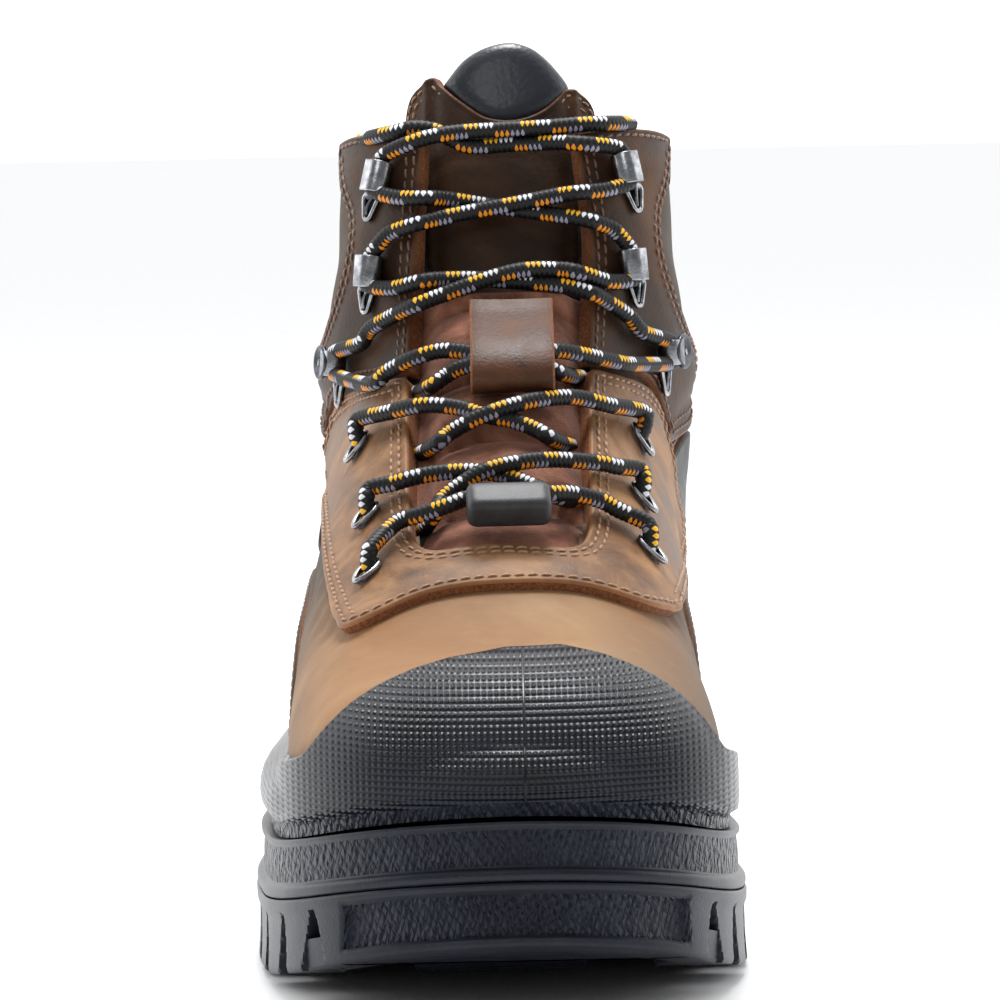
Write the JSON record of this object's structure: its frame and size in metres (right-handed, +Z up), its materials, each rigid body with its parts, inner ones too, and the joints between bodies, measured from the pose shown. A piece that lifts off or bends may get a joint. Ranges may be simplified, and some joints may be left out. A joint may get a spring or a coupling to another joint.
{
  "type": "metatarsal guard boot",
  "caption": "Ankle-high leather work boot with a lugged rubber sole, rubber toe bumper, padded metatarsal guard in the throat, hooks and round laces.",
  "frame": {"origin": "on the floor, under the middle of the sole's length and width", "axes": "+Z up, toe towards -Y, heel towards +Y, inner side of the right foot towards +X"},
  "size_m": [0.1129, 0.3056, 0.2105],
  "materials": {
    "tread_rubber": "moulded rubber with textured and smooth faces",
    "midsole_rubber": "moulded rubber, satin",
    "rand_rubber": "moulded rubber with a fine square grain, satin",
    "insole_cloth": "knitted cloth over foam",
    "upper_leather": "oiled nubuck, tan at the vamp and darker at the shaft",
    "lining_cloth": "padded cloth lining",
    "shaft_leather": "oiled nubuck, dark olive brown",
    "black_leather": "smooth padded leather",
    "guard_suede": "suede, dark reddish brown",
    "flap_leather": "oiled nubuck with cut edges",
    "ankle_cloth": "coarse woven cloth",
    "loop_metal": "bright plated wire",
    "hook_metal": "gunmetal plated sheet",
    "lace_cord": "round braid with yellow and grey flecks",
    "tag_rubber": "soft moulded rubber, left bare",
    "keeper_leather": "oiled leather with cut edges"
  },
  "bodies": {
    "root": {"outsole": "tread_rubber", "midsole": "midsole_rubber", "rubber_rand": "rand_rubber", "insole": "insole_cloth", "upper": "upper_leather", "collar_padding": "lining_cloth", "tongue": "shaft_leather", "tongue_top": "black_leather", "metatarsal_guard": "guard_suede", "lace_flap": "flap_leather", "hook_stay_lateral": "shaft_leather", "hook_stay_medial": "shaft_leather", "heel_counter": "shaft_leather", "ankle_panel_lateral": "ankle_cloth", "ankle_panel_medial": "ankle_cloth", "eyelet_A_lateral": "loop_metal", "eyelet_B_lateral": "loop_metal", "eyelet_C_lateral": "loop_metal", "eyelet_A_medial": "loop_metal", "eyelet_B_medial": "loop_metal", "eyelet_C_medial": "loop_metal", "speed_hook_5_lateral": "hook_metal", "speed_hook_6_lateral": "hook_metal", "speed_hook_5_medial": "hook_metal", "speed_hook_6_medial": "hook_metal", "lock_hook_lateral": "hook_metal", "lock_hook_medial": "hook_metal", "lace_bar": "lace_cord", "lace_crossing_1": "lace_cord", "lace_crossing_2": "lace_cord", "lace_crossing_3": "lace_cord", "lace_crossing_4": "lace_cord", "lace_crossing_5": "lace_cord", "lace_crossing_6": "lace_cord", "lace_tag": "tag_rubber", "keeper_loop": "keeper_leather"}
  },
  "joints": []
}
